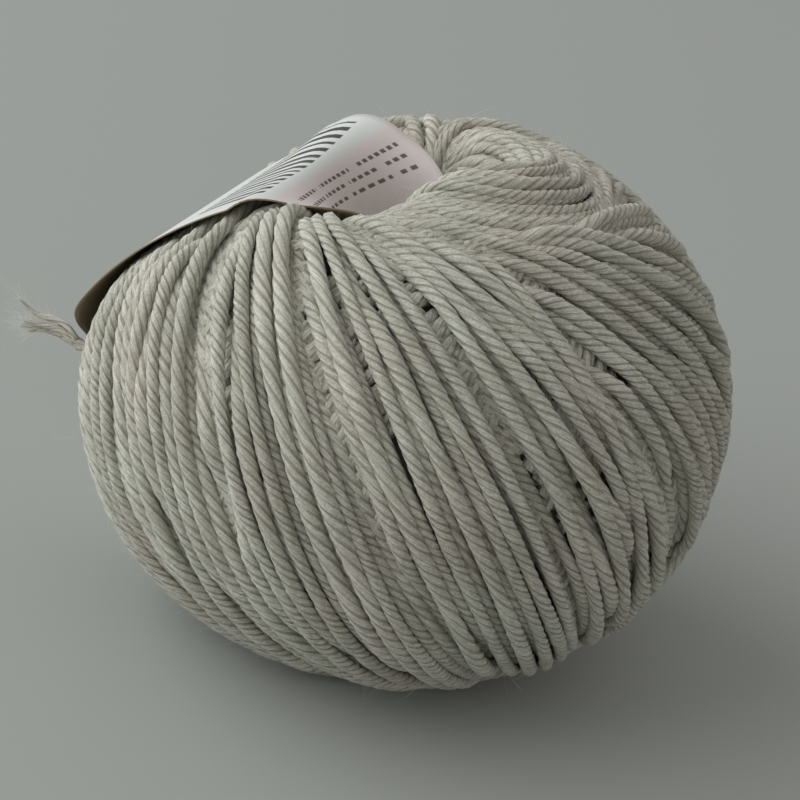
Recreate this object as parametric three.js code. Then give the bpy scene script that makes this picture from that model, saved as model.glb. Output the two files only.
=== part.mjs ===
// A machine-wound ball of plied yarn with a paper band round one side of it.
// Millimetres, +Z up along the axis of the winding hole. The ball stands on the flat of its foot,
// and the origin lies there, under the middle of ball and band.
import * as THREE from "three";

const DEG = Math.PI / 180;

// The hole's axis, which the band's thickness on one side sets a little off the middle.
const AXIS_X = 1.18;
const AXIS_Y = 0;

// The wound ball: an oblate pumpkin form with a hole along its axis.
const BALL_RADIUS = 47.2;
const CROWN_HEIGHT = 39.4; // centre to the crown, before the hole's lip is rounded
const BALL_ROUNDNESS = 2.2; // exponent of the superellipse in the meridian, 2 is an ellipse
const FOOT_HEIGHT = 36.0; // centre to the flat that the ball's weight presses
const HOLE_RADIUS = 8.9;
const LIP_FLARE = 1.2; // how far the hole widens at its lips
const LIP_HEIGHT = 30; // height above the centre where that widening starts
const LIP_BLEND = 2; // rounding of the hole's lips
const SURFACE_BLEND = 5; // rounding where the crown meets the pressed shoulder

// The last turns swell up on the near side of the upper mouth and push it a little back.
const SWELL_RISE = 2.6;
const SWELL_RADIUS = 11; // from the axis to the highest turns
const SWELL_WIDTH = 10;
const SWELL_AZIMUTH = 20 * DEG;
const MOUTH_SHIFT = 3.5;
const MOUTH_SHIFT_START = 18; // heights over which the mouth moves back
const MOUTH_SHIFT_END = 39;

// The main twists: broad bundles of strands, which lean one way on the front half and back on the other.
const WINDING_ANGLE = 31 * DEG; // between the axis and the outermost strands at their highest point
const BUNDLES_PER_TURN = 16;
const BUNDLE_GROOVE = 1.2; // greatest depth between two bundles
const FOOT_FADE = 9; // height over which the grooves come back above the pressed foot
const GROOVE_FADE = 4; // depth under the band's pressed shoulder over which the grooves fade out

// The paper band: a loop through the hole and round the side, pulled tight.
const BAND_WIDTH = 32;
const BAND_THICKNESS = 0.8;
const BAND_AZIMUTH = -113 * DEG; // measured from -Y, positive towards +X
const BAND_TILT = 4.5 * DEG; // lean of the loop about its own run
const BAND_OFFSET_TOP = -5.9; // sideways place of the loop over the upper shoulder
const BAND_OFFSET_FOOT = 3; // and under the lower one
const BAND_OFFSET_SPAN = 16; // height over which one becomes the other
const BAND_REACH = 45.7; // centre to the band at the waist
const BAND_RISE = 40.4; // height that its shoulder curve aims at, on the axis
const BAND_FLATNESS = 1.45; // exponent of the pulled-tight shoulder curve
const BAND_CREST_RADIUS = 20; // where the band turns over into the hole
const BAND_HOLE_RADIUS = 7.5; // the band's distance from the axis inside the hole
const BAND_CHUTE_START = 8; // height where it starts to lean outwards to the crest
const BAND_CHUTE_TOP = 33.6; // height of that lean at the crest radius
const BAND_CREST_BLEND = 4;
const BAND_CURL_RADIUS = 22; // where it starts to curl up into a gutter
const BAND_CLEARANCE = 1.3; // ball surface to the band's middle plane
const PRESS_MARGIN = 1.5; // flattened yarn beyond each edge of the band
const PRESS_RELAX = 9; // radius with which the ball swells again beside the band
const SPOUT_HALF_ANGLE = 40 * DEG; // half width of the funnel that the band pulls into the hole's lip
const SPOUT_EDGE = 65 * DEG; // angle over which the funnel's sides rise
const SPOUT_CLEARANCE = 8; // how much wider than the band the funnel is at its crest

// The loose end: its centre line from where it comes up between the strands to its cut tip,
// x and y from the ball's axis, z from the floor.
const YARN_DIAMETER = 2.2;
const TAIL_ROUTE = [
  [-36.5, -17.5, 11.3],
  [-38.9, -15.8, 13.3],
  [-41.1, -14.1, 15.6],
  [-43.2, -12.2, 18.3],
  [-44.9, -9.9, 21.0],
  [-46.2, -7.6, 23.9],
  [-47.1, -5.2, 26.6],
  [-47.6, -3.2, 29.2],
  [-47.9, -1.7, 31.4],
  [-49.0, -0.3, 32.9],
  [-50.3, 0.5, 33.7],
  [-51.9, 0.9, 33.9],
  [-53.8, 1.2, 33.6],
  [-55.6, 1.5, 33.2],
  [-57.2, 1.7, 32.8],
];

// Mesh density.
const AZIMUTH_STEPS = 84;
const MERIDIAN_STEPS = 46;
const RING_CENTRE = 27; // radius of the circle inside the ball that the meridians are drawn around
const HALVINGS = 40;
const SMOOTHING_PASSES = 3;
const MERIDIAN_SAMPLES = 720;
const BAND_SAMPLES = 400;
const BAND_STEPS = 60;
const BAND_STEPS_ACROSS = 6;
const TAIL_STEPS = 18;
const TAIL_SIDES = 8;

const YARN_COLOUR = 0xa9a89c;
const PAPER_COLOUR = 0xd8d2d0;

const bandRun = new THREE.Vector3(Math.sin(BAND_AZIMUTH), -Math.cos(BAND_AZIMUTH), 0);
const bandAcross = new THREE.Vector3(-bandRun.y, bandRun.x, 0).negate();

const clamp01 = (x) => Math.min(1, Math.max(0, x));
const smoothStep = (x) => clamp01(x) ** 2 * (3 - 2 * clamp01(x));

// The larger of two distances, rounded where they are within the blend of each other.
function smoothMax(a, b, blend) {
  const h = Math.max(blend - Math.abs(a - b), 0) / blend;
  return Math.max(a, b) + (h * h * blend) / 4;
}

// Radius of a superellipse in the direction (across, up) from its centre.
function superellipseRadius(across, up, halfWidth, halfHeight, exponent) {
  const length = Math.hypot(across, up);
  const acrossTerm = (Math.abs(across) / length / halfWidth) ** exponent;
  const upTerm = (Math.abs(up) / length / halfHeight) ** exponent;
  return (acrossTerm + upTerm) ** (-1 / exponent);
}

// Azimuth from -Y towards +X.
const azimuthOf = (x, y) => Math.atan2(x, -y);

function wrapAngle(angle) {
  return Math.atan2(Math.sin(angle), Math.cos(angle));
}

// 0 over the upper shoulder, 1 under the lower one.
function bandLower(z) {
  return smoothStep((BAND_OFFSET_SPAN / 2 - z) / BAND_OFFSET_SPAN);
}

function bandOffset(z) {
  return BAND_OFFSET_TOP + (BAND_OFFSET_FOOT - BAND_OFFSET_TOP) * bandLower(z);
}

// Height of the band's middle plane over its run, r from the axis: the lower of shoulder and chute.
function bandHeight(r) {
  const shoulder = BAND_RISE * Math.max(0, 1 - (r / BAND_REACH) ** BAND_FLATNESS) ** (1 / BAND_FLATNESS);
  const lean = Math.max(0, r - BAND_HOLE_RADIUS) / (BAND_CREST_RADIUS - BAND_HOLE_RADIUS);
  const chute = BAND_CHUTE_START + (BAND_CHUTE_TOP - BAND_CHUTE_START) * Math.sqrt(lean);
  return -smoothMax(-shoulder, -chute, BAND_CREST_BLEND);
}

// How far the last turns swell up round the upper mouth.
function swell(x, y, z) {
  if (z < 0) return 0;
  const spread = Math.exp(-(((Math.hypot(x, y) - SWELL_RADIUS) / SWELL_WIDTH) ** 2));
  return (SWELL_RISE * spread * (1 + Math.cos(azimuthOf(x, y) - SWELL_AZIMUTH))) / 2;
}

// Outside the wound form: positive beyond the crown and waist.
function crownGap(x, y, z) {
  const r = Math.hypot(x, y);
  const plain = superellipseRadius(r, z, BALL_RADIUS, CROWN_HEIGHT, BALL_ROUNDNESS);
  return Math.hypot(r, z) - plain - swell(x, y, z);
}

// Outside the shoulder that the tight band presses in.
function pressGap(x, y, z) {
  const side = x * bandAcross.x + y * bandAcross.y;
  const up = z * Math.cos(BAND_TILT) - side * Math.sin(BAND_TILT);
  const across = side * Math.cos(BAND_TILT) + z * Math.sin(BAND_TILT) - bandOffset(z);
  const out = Math.max(0, x * bandRun.x + y * bandRun.y);
  const reach = BAND_REACH - BAND_CLEARANCE;
  const rise = BAND_RISE - BAND_CLEARANCE;
  const pressed = superellipseRadius(out, up, reach, rise, BAND_FLATNESS);
  const beside = Math.max(0, Math.abs(across) - BAND_WIDTH / 2 - PRESS_MARGIN);
  return Math.hypot(out, up) - pressed - beside ** 2 / (2 * PRESS_RELAX);
}

// Inside the hole: positive nearer the axis than its wall.
function holeGap(x, y, z) {
  const height = Math.abs(z);
  const lip = LIP_FLARE * smoothStep((height - LIP_HEIGHT) / (CROWN_HEIGHT - LIP_HEIGHT)) ** 2;
  const lean = Math.max(0, height - BAND_CHUTE_START + 1) / (BAND_CHUTE_TOP - BAND_CHUTE_START);
  const chute = (BAND_CREST_RADIUS - BAND_HOLE_RADIUS + SPOUT_CLEARANCE) * lean ** 2;
  const spoutAzimuth = BAND_AZIMUTH - Math.atan(bandOffset(z) / BAND_CREST_RADIUS);
  const turn = Math.abs(wrapAngle(azimuthOf(x, y) - spoutAzimuth));
  const spout = 1 - smoothStep((turn - SPOUT_HALF_ANGLE) / SPOUT_EDGE);
  const shift = MOUTH_SHIFT * smoothStep((z - MOUTH_SHIFT_START) / (MOUTH_SHIFT_END - MOUTH_SHIFT_START));
  return HOLE_RADIUS + Math.max(lip, chute * spout) - Math.hypot(x, y - shift);
}

function ballGap(x, y, z) {
  const outside = smoothMax(crownGap(x, y, z), pressGap(x, y, z), SURFACE_BLEND);
  return smoothMax(outside, holeGap(x, y, z), LIP_BLEND);
}

// How far the grooves between bundles go in. A strand leaves the ring round the hole, crosses the
// waist a quarter turn on and reaches the lower ring after half a turn.
function grooveDepth(x, y, z) {
  const latitude = Math.atan2(z, Math.hypot(x, y));
  const cosTravel = Math.sin(latitude) / Math.cos(WINDING_ANGLE);
  if (Math.abs(cosTravel) >= 1) return 0;
  const sinTravel = Math.sqrt(1 - cosTravel ** 2);
  const swing = Math.atan2(sinTravel, cosTravel * Math.sin(WINDING_ANGLE)) - Math.PI / 2;
  const azimuth = azimuthOf(x, y);
  let depth = 0;
  for (const lean of [1, -1]) {
    const waistAzimuth = azimuth - lean * swing;
    const share = Math.sqrt(Math.max(0, lean * Math.cos(waistAzimuth)));
    depth += (share * (1 - Math.cos(BUNDLES_PER_TURN * waistAzimuth))) / 2;
  }
  const underBand = smoothStep(1 + pressGap(x, y, z) / GROOVE_FADE);
  const awayFromTurn = smoothStep(1.5 * sinTravel);
  const aboveFoot = smoothStep((z + CROWN_HEIGHT) / FOOT_FADE);
  return BUNDLE_GROOVE * depth * awayFromTurn * aboveFoot * (1 - underBand);
}

// Distance from the ring circle to the ball's skin, by halving.
function skinDistance(cosA, sinA, cosTurn, sinTurn) {
  let near = 0;
  let far = BALL_RADIUS + CROWN_HEIGHT;
  for (let i = 0; i < HALVINGS; i++) {
    const middle = (near + far) / 2;
    const r = RING_CENTRE + middle * cosTurn;
    const outside = r <= 0 || ballGap(r * sinA, -r * cosA, middle * sinTurn) > 0;
    if (outside) far = middle;
    else near = middle;
  }
  return near;
}

// Angles round the ring circle that give even steps along the plain meridian.
function meridianAngles() {
  const lengths = [0];
  let before = null;
  for (let i = 0; i <= MERIDIAN_SAMPLES; i++) {
    const turn = (i / MERIDIAN_SAMPLES) * 2 * Math.PI;
    const distance = skinDistance(1, 0, Math.cos(turn), Math.sin(turn));
    const point = [distance * Math.cos(turn), distance * Math.sin(turn)];
    if (before) lengths.push(lengths[i - 1] + Math.hypot(point[0] - before[0], point[1] - before[1]));
    before = point;
  }
  const angles = [];
  for (let j = 0, i = 0; j < MERIDIAN_STEPS; j++) {
    const target = (j / MERIDIAN_STEPS) * lengths[MERIDIAN_SAMPLES];
    while (lengths[i + 1] < target) i++;
    const part = (target - lengths[i]) / (lengths[i + 1] - lengths[i]);
    angles.push(((i + part) / MERIDIAN_SAMPLES) * 2 * Math.PI);
  }
  return angles;
}

// A closed grid of points, rings[i][j], as one solid with its faces outwards. Each square is split
// between the two opposite corners that lie more nearly at one depth, so edges follow the grooves.
function ringSolid(rings, depths) {
  const columns = rings.length;
  const rows = rings[0].length;
  const positions = rings.flat().flatMap((p) => [p.x, p.y, p.z]);
  const faces = [];
  for (let i = 0; i < columns; i++) {
    for (let j = 0; j < rows; j++) {
      const a = i * rows + j;
      const b = ((i + 1) % columns) * rows + j;
      const c = ((i + 1) % columns) * rows + ((j + 1) % rows);
      const d = i * rows + ((j + 1) % rows);
      const across = Math.abs(depths[a] - depths[c]) <= Math.abs(depths[b] - depths[d]);
      if (across) faces.push(a, b, c, a, c, d);
      else faces.push(a, b, d, b, c, d);
    }
  }
  const geometry = new THREE.BufferGeometry();
  geometry.setAttribute("position", new THREE.Float32BufferAttribute(positions, 3));
  geometry.setIndex(faces);
  return geometry;
}

// The skin distances of all meridians, evened out a little round the axis, which softens the funnel's sides.
function skinGrid(angles) {
  let grid = [];
  for (let i = 0; i < AZIMUTH_STEPS; i++) {
    const azimuth = (i / AZIMUTH_STEPS) * 2 * Math.PI;
    const cosA = Math.cos(azimuth);
    const sinA = Math.sin(azimuth);
    grid.push(angles.map((turn) => skinDistance(cosA, sinA, Math.cos(turn), Math.sin(turn))));
  }
  for (let pass = 0; pass < SMOOTHING_PASSES; pass++) {
    grid = grid.map((column, i) => {
      const before = grid[(i + AZIMUTH_STEPS - 1) % AZIMUTH_STEPS];
      const after = grid[(i + 1) % AZIMUTH_STEPS];
      return column.map((distance, j) => (before[j] + 2 * distance + after[j]) / 4);
    });
  }
  return grid;
}

function woundBall() {
  const angles = meridianAngles();
  const depths = [];
  const rings = skinGrid(angles).map((column, i) => {
    const azimuth = (i / AZIMUTH_STEPS) * 2 * Math.PI;
    const sinA = Math.sin(azimuth);
    const cosA = Math.cos(azimuth);
    return column.map((distance, j) => {
      const r = RING_CENTRE + distance * Math.cos(angles[j]);
      const depth = grooveDepth(r * sinA, -r * cosA, distance * Math.sin(angles[j]));
      depths.push(depth);
      const skinR = RING_CENTRE + (distance - depth) * Math.cos(angles[j]);
      const skinZ = (distance - depth) * Math.sin(angles[j]);
      return new THREE.Vector3(skinR * sinA, -skinR * cosA, Math.max(skinZ, -FOOT_HEIGHT));
    });
  });
  return ringSolid(rings, depths);
}

// The band's run in its own plane: up the hole, over the crest, down the side and back under.
function bandRunCurve() {
  const upper = [new THREE.Vector2(BAND_HOLE_RADIUS, 0)];
  for (let i = 0; i <= BAND_SAMPLES; i++) {
    const part = i / BAND_SAMPLES;
    const eased = part < 0.5 ? 2 * part ** 2 : 1 - 2 * (1 - part) ** 2;
    const r = BAND_HOLE_RADIUS + (BAND_REACH - BAND_HOLE_RADIUS) * eased;
    upper.push(new THREE.Vector2(r, bandHeight(r)));
  }
  const lower = upper.slice(1, -1).reverse().map((p) => new THREE.Vector2(p.x, -p.y));
  const all = [...upper, ...lower];
  const lengths = [0];
  for (let i = 1; i <= all.length; i++) {
    lengths.push(lengths[i - 1] + all[i - 1].distanceTo(all[i % all.length]));
  }
  const run = [];
  for (let k = 0, i = 0; k < BAND_STEPS; k++) {
    const target = (k / BAND_STEPS) * lengths[all.length];
    while (lengths[i + 1] < target) i++;
    const part = (target - lengths[i]) / (lengths[i + 1] - lengths[i]);
    run.push(all[i].clone().lerp(all[(i + 1) % all.length], part));
  }
  return run;
}

function paperBand() {
  const run = bandRunCurve();
  const rings = run.map((point, k) => {
    const before = run[(k + BAND_STEPS - 1) % BAND_STEPS];
    const after = run[(k + 1) % BAND_STEPS];
    const tangent = after.clone().sub(before).normalize();
    const inHole = smoothStep((BAND_CURL_RADIUS - point.x) / (BAND_CURL_RADIUS - BAND_HOLE_RADIUS - 1));
    const curl = inHole / BAND_HOLE_RADIUS + 1e-6;
    const tilt = BAND_TILT * (1 - inHole);
    const offset = bandOffset(point.y) * (1 - inHole);
    const up = new THREE.Vector3(0, 0, Math.cos(tilt)).addScaledVector(bandAcross, -Math.sin(tilt));
    const across = new THREE.Vector3(0, 0, Math.sin(tilt)).addScaledVector(bandAcross, Math.cos(tilt));
    // The printed face looks away from the yarn.
    const face = bandRun.clone().multiplyScalar(-tangent.y).addScaledVector(up, tangent.x);
    const centre = bandRun.clone().multiplyScalar(point.x);
    centre.addScaledVector(up, point.y).addScaledVector(across, offset);
    const ring = [];
    for (const side of [1, -1]) {
      for (let j = 0; j <= BAND_STEPS_ACROSS; j++) {
        const v = side * (0.5 - j / BAND_STEPS_ACROSS) * BAND_WIDTH;
        const turn = curl * v;
        const normal = face.clone().multiplyScalar(Math.cos(turn)).addScaledVector(across, -Math.sin(turn));
        ring.push(centre.clone()
          .addScaledVector(across, Math.sin(turn) / curl)
          .addScaledVector(face, (1 - Math.cos(turn)) / curl)
          .addScaledVector(normal, (side * BAND_THICKNESS) / 2));
      }
    }
    return ring;
  });
  return ringSolid(rings, new Array(rings.flat().length).fill(0));
}

function yarnTail() {
  const section = new THREE.Shape();
  for (let i = 0; i < TAIL_SIDES; i++) {
    const turn = (i / TAIL_SIDES) * 2 * Math.PI;
    const x = (YARN_DIAMETER / 2) * Math.cos(turn);
    const y = (YARN_DIAMETER / 2) * Math.sin(turn);
    if (i === 0) section.moveTo(x, y);
    else section.lineTo(x, y);
  }
  section.closePath();
  const route = new THREE.CatmullRomCurve3(TAIL_ROUTE.map((point) => new THREE.Vector3(...point)));
  return new THREE.ExtrudeGeometry(section, { steps: TAIL_STEPS, bevelEnabled: false, extrudePath: route });
}

const yarn = new THREE.MeshStandardMaterial({ color: YARN_COLOUR, roughness: 0.95, metalness: 0 });
const paper = new THREE.MeshStandardMaterial({ color: PAPER_COLOUR, roughness: 0.7, metalness: 0 });

function named(name, geometry, material) {
  const mesh = new THREE.Mesh(geometry, material);
  mesh.name = name;
  return mesh;
}

const wound = new THREE.Group();
wound.add(named("ball", woundBall(), yarn));
wound.add(named("label_band", paperBand(), paper));
wound.position.set(AXIS_X, AXIS_Y, FOOT_HEIGHT);

const tail = named("yarn_tail", yarnTail(), yarn);
tail.position.set(AXIS_X, AXIS_Y, 0);

const skein = new THREE.Group();
skein.add(wound, tail);

export default skein;
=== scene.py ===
"""A machine-wound ball of plied yarn with a paper label band and a loose frayed end.

The ball is wound here strand by strand, from the newest strand to the oldest: each strand lies as
far out as the strands already on top of it leave room, and the first ones lie on the ball's form.
"""

import math

import bmesh
import bpy
import numpy as np
from mathutils import Matrix, Vector
from mathutils.bvhtree import BVHTree


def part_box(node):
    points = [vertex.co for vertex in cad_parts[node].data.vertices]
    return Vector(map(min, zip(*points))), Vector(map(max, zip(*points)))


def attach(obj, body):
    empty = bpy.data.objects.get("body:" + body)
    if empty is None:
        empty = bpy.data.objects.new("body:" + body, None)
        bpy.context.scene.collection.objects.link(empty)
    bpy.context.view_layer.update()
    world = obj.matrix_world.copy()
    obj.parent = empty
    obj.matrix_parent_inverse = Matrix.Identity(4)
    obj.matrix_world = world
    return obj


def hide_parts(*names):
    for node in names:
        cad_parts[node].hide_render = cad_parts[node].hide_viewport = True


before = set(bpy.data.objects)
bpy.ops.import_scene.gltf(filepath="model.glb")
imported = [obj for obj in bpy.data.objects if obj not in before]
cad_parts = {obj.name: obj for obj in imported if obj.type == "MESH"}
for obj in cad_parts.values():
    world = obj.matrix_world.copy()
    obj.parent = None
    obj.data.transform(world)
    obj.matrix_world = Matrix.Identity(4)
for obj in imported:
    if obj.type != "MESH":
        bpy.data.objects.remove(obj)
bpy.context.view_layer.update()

MM = 0.001
DEG = math.pi / 180
TURN = 2 * math.pi

# The ball's form, in the frame.
ball_low, ball_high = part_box("ball")
BALL_RADIUS = (ball_high.y - ball_low.y) / 2
AXIS_X = ball_high.x - BALL_RADIUS
AXIS_Y = (ball_low.y + ball_high.y) / 2
CENTRE_HEIGHT = 36.0 * MM
CENTRE = np.array([AXIS_X, AXIS_Y, CENTRE_HEIGHT])
RING_RADIUS = 27 * MM  # circle inside the ball that depths are measured from

# The yarn: five plies, laid with an S twist.
YARN_RADIUS = 1.11 * MM
PACKED_RADIUS = 1.0 * MM  # half the distance that two strands keep when they press together
CROWN_PRESS = 0.68  # share of that distance left near the hole, where the strands crowd together
CROWN_GIRTH = 0.86  # share of the yarn's thickness left there
CROWN_RADII = (17 * MM, 37 * MM)  # distances from the axis between which the crowding eases
PLIES = 5
LAY_LENGTH = 9.4 * MM  # length of one full turn of the plies
LAY_SPREAD = 0.3  # how unlike the twist of two strands is; a looser one is thicker
LAY_SWAY = 0.22  # how much tighter and looser the twist gets along a strand
LAY_SWAY_LENGTH = 25 * MM
# A strand's thickness changes along it: by how much, and over what length.
GIRTH_SWAY_LONG = (0.05, 9 * MM)
GIRTH_SWAY_SHORT = (0.03, 3.7 * MM)
RIDGE_SHARE = 1.03  # how far the ridge of a ply stands out, in radii
CREASE_SHARE = 0.87  # and the crease between two
SINGLE_RADIUS = 0.56 * MM  # of one ply
FIBRE_RADIUS = 0.016 * MM
YARN_STEP = 0.72 * MM  # between the points of a strand's path
MESH_STEP = 1.12 * MM  # between the rings of a strand's mesh
FINE_STEP = 0.4 * MM  # between the points of the loose end's finer parts
MOST_TRIANGLES = 190_000  # in one piece
RUN_MARGIN = 3  # points that a stretch goes on under the strands over it
SHORTEST_RUN = 7  # points

# The winding.
WINDING_ANGLE = 31 * DEG  # between the axis and the strands at their highest point
STRANDS = 59  # loops that cover the ball once
BUNDLES = 16
NEWEST_START = -180 * DEG  # azimuth of the newest loop at its highest point
SET_OF_LOOPS = 10  # loops of nearly the same age
LOOPS_BETWEEN = 7  # older loops of each set, pressed in between its strands
LOOPS_UNDER = 177  # the oldest ones, which close the gaps that are left
UNDER_SHIFT = 0.37  # of a loop's place, so that they don't lie under the others
LEAN_SPREAD = 1.8 * DEG
PLACE_SPREAD = 0.0045  # radians
BUNCHING = 0.22  # how far loops draw together into bundles, in places of a loop
# Slow sways of a path: over how many of its points, and how far.
LEAN_SWAY = (26, 0.7 * DEG)
SWING_SWAY = (22, 0.35 * DEG)
TOP_SWAY = (26, 0.35 * DEG)
ROW_SWAY = (9, 0.22 * DEG)
# The strand that lies over all the others: azimuth of its loop's highest point and angle from the
# axis, the part of the loop where it lies on top, and how far and over what length its ends tuck in.
TOP_LOOP = (-38.9 * DEG, 22.9 * DEG)
TOP_STRETCH = (22 * DEG, 150 * DEG)
TOP_TUCK = 2.2 * MM
TOP_TUCK_LENGTH = 9 * MM
# Older turns that wind in together towards the hole, in layers: how many, and how wide each one's
# place is.
CROWN_ROWS = [(13, 1.5 * MM), (9, 1.9 * MM)]
CROWN_ROW_ENDS = (119 * DEG, 84 * DEG)  # from the hole's wall to under the outer winding
ROW_SPREAD = 0.06  # of a row's place
# Arcs that make the wall of the hole.
WALL_ENDS = (117 * DEG, 248 * DEG)  # round the ring circle
WALL_PITCH = 1.75 * MM
WALL_ARCS = 6  # at each height
WALL_ARC_REACH = 10 * MM  # to each side of its middle
WALL_ARC_SLOPE = 0.06
WALL_ARC_SPREAD = 0.08  # radians
WALL_ARC_DIVE = 0.8  # how much of its straightness takes an arc's ends into the wall
FLAT_FOOT = 1.35 * MM  # the height of the strands that the ball rests on
CORE_DEPTH = 4.3 * MM  # from the ball's form to the plain body under the strands

FUZZ_FIBRES = 4200
FUZZ_REACH = (1.0, 3.2)  # millimetres
FUZZ_OUT = (0.1, 0.9)  # how much of a fibre's heading is outwards
FUZZ_FREE_OF_BAND = 3.2 * MM

# The paper band.
BAND_WIDTH = 32 * MM
BAND_AZIMUTH = -113 * DEG  # measured from -Y, positive towards +X
BAND_TILT = 4.5 * DEG
BAND_OFFSET_TOP = -5.9 * MM
BAND_OFFSET_FOOT = 3 * MM
BAND_OFFSET_SPAN = 16 * MM
BAND_REACH = 45.7 * MM
BAND_RISE = 40.4 * MM
BAND_FLATNESS = 1.45
BAND_CREST_RADIUS = 20 * MM
BAND_HOLE_RADIUS = 7.5 * MM
BAND_CHUTE_START = 8 * MM
BAND_CHUTE_TOP = 33.6 * MM
BAND_CREST_BLEND = 4 * MM
BAND_CURL_RADIUS = 22 * MM
# Its near edge bends down onto the strands: how far, from where across and how wide, and at what
# radius and over how much.
BAND_DROOP = 2.3 * MM
BAND_DROOP_FROM = 4 * MM
BAND_DROOP_WIDTH = 12 * MM
BAND_DROOP_RADIUS = 16.5 * MM
BAND_DROOP_SPAN = 2.8 * MM
# Its far edge stands up a little there.
BAND_LIFT = 1.9 * MM
BAND_LIFT_RADIUS = 22 * MM
BAND_LIFT_SPAN = 4 * MM
PAPER_THICKNESS = 0.25 * MM
BAND_OVERLAP = 9 * MM  # where the strip's ends are glued over each other, low inside the hole
BAND_START = -14 * MM

# The print, in millimetres along the band's run and across it.
PINK_END = 33.6
BARS_START = 35.2
BARS_END = 46.5
BARS_ACROSS = (-11.9, 13.9)
BAR_PITCHES = (1.9, 0.72)  # of the broad and the fine beat that make up the bars
DASH_HALF_WIDTH = 0.28
PANEL_BLUR = 0.08
INK_BLUR = 0.06
# Rows of dashes: place along, from and to across, pitch of the dashes and of the words.
DASH_ROWS = [
    (31.7, -10.5, 14.2, 1.1, 9.0),
    (30.0, -12.5, 13.8, 1.25, 6.5),
    (28.2, -13.5, 13.4, 1.75, 8.5),
]

# The loose end, x and y from the hole's axis, z from the floor.
TAIL_ROUTE = [
    (-36.5, -17.5, 11.3),
    (-38.9, -15.8, 13.3),
    (-41.1, -14.1, 15.6),
    (-43.2, -12.2, 18.3),
    (-44.9, -9.9, 21.0),
    (-46.2, -7.6, 23.9),
    (-47.1, -5.2, 26.6),
    (-47.6, -3.2, 29.2),
    (-47.9, -1.7, 31.4),
    (-49.0, -0.3, 32.9),
    (-50.3, 0.5, 33.7),
    (-51.9, 0.9, 33.9),
    (-53.8, 1.2, 33.6),
    (-55.6, 1.5, 33.2),
    (-57.2, 1.7, 32.8),
]
TAIL_LIES = 9  # points of the route that lie on the ball
TAIL_SUNK = 1.9 * MM
TAIL_RISE_START = 2.5 * MM  # before the last of them, where it begins to come free
TAIL_RISE_LENGTH = 6 * MM
FRAY_LENGTH = 8 * MM
FRAY_SHARE = 0.2  # of the loose end's length
PLY_START = 1 * MM  # before it, inside the twisted yarn
PLY_SPREAD = 0.5 * MM  # of the plies where they are still together
PLY_CURL = 1.6 * MM  # how far the first ply curls up at its end
PLY_SWAY = 0.25  # millimetres
STRAYS_PER_PLY = 70
STRAY_REACH = (1.2, 4.2)  # millimetres
# Where each ply ends after it has come untwisted: above the route, behind it, and its share of the
# length.
FRAYED_PLIES = [
    (2.1, 0.2, 1.0),
    (0.55, -0.5, 0.93),
    (-0.15, 0.45, 0.97),
    (-0.75, -0.2, 0.88),
]

random = np.random.default_rng(7)


def srgb(red, green, blue):
    """A colour given in 0 to 255 display values, as Blender's linear one."""
    linear = []
    for value in (red, green, blue):
        share = value / 255
        linear.append(share / 12.92 if share <= 0.04045 else ((share + 0.055) / 1.055) ** 2.4)
    return (*linear, 1.0)


def smooth_step(x):
    x = np.clip(x, 0, 1)
    return x * x * (3 - 2 * x)


def unit(directions):
    return directions / np.linalg.norm(directions, axis=1)[:, None]


def lengths_along(points):
    """How far along a line each of its points lies."""
    return np.r_[0, np.cumsum(np.linalg.norm(np.diff(points, axis=0), axis=1))]


def between(at, places, points):
    """Points of a line at some places along it."""
    return np.stack([np.interp(at, places, column) for column in points.T], axis=1)


def search_tree(node):
    """The faces of a CAD part, to look things up in."""
    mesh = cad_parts[node].data
    faces = [tuple(face.vertices) for face in mesh.polygons]
    return BVHTree.FromPolygons([vertex.co for vertex in mesh.vertices], faces)


def mesh_of(bm, name):
    """Ends an edit and returns its mesh."""
    mesh = bpy.data.meshes.new(name)
    bm.to_mesh(mesh)
    bm.free()
    return mesh


def add_object(name, data):
    """A new object in the scene, at the origin."""
    made = bpy.data.objects.new(name, data)
    bpy.context.scene.collection.objects.link(made)
    return made


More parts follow.
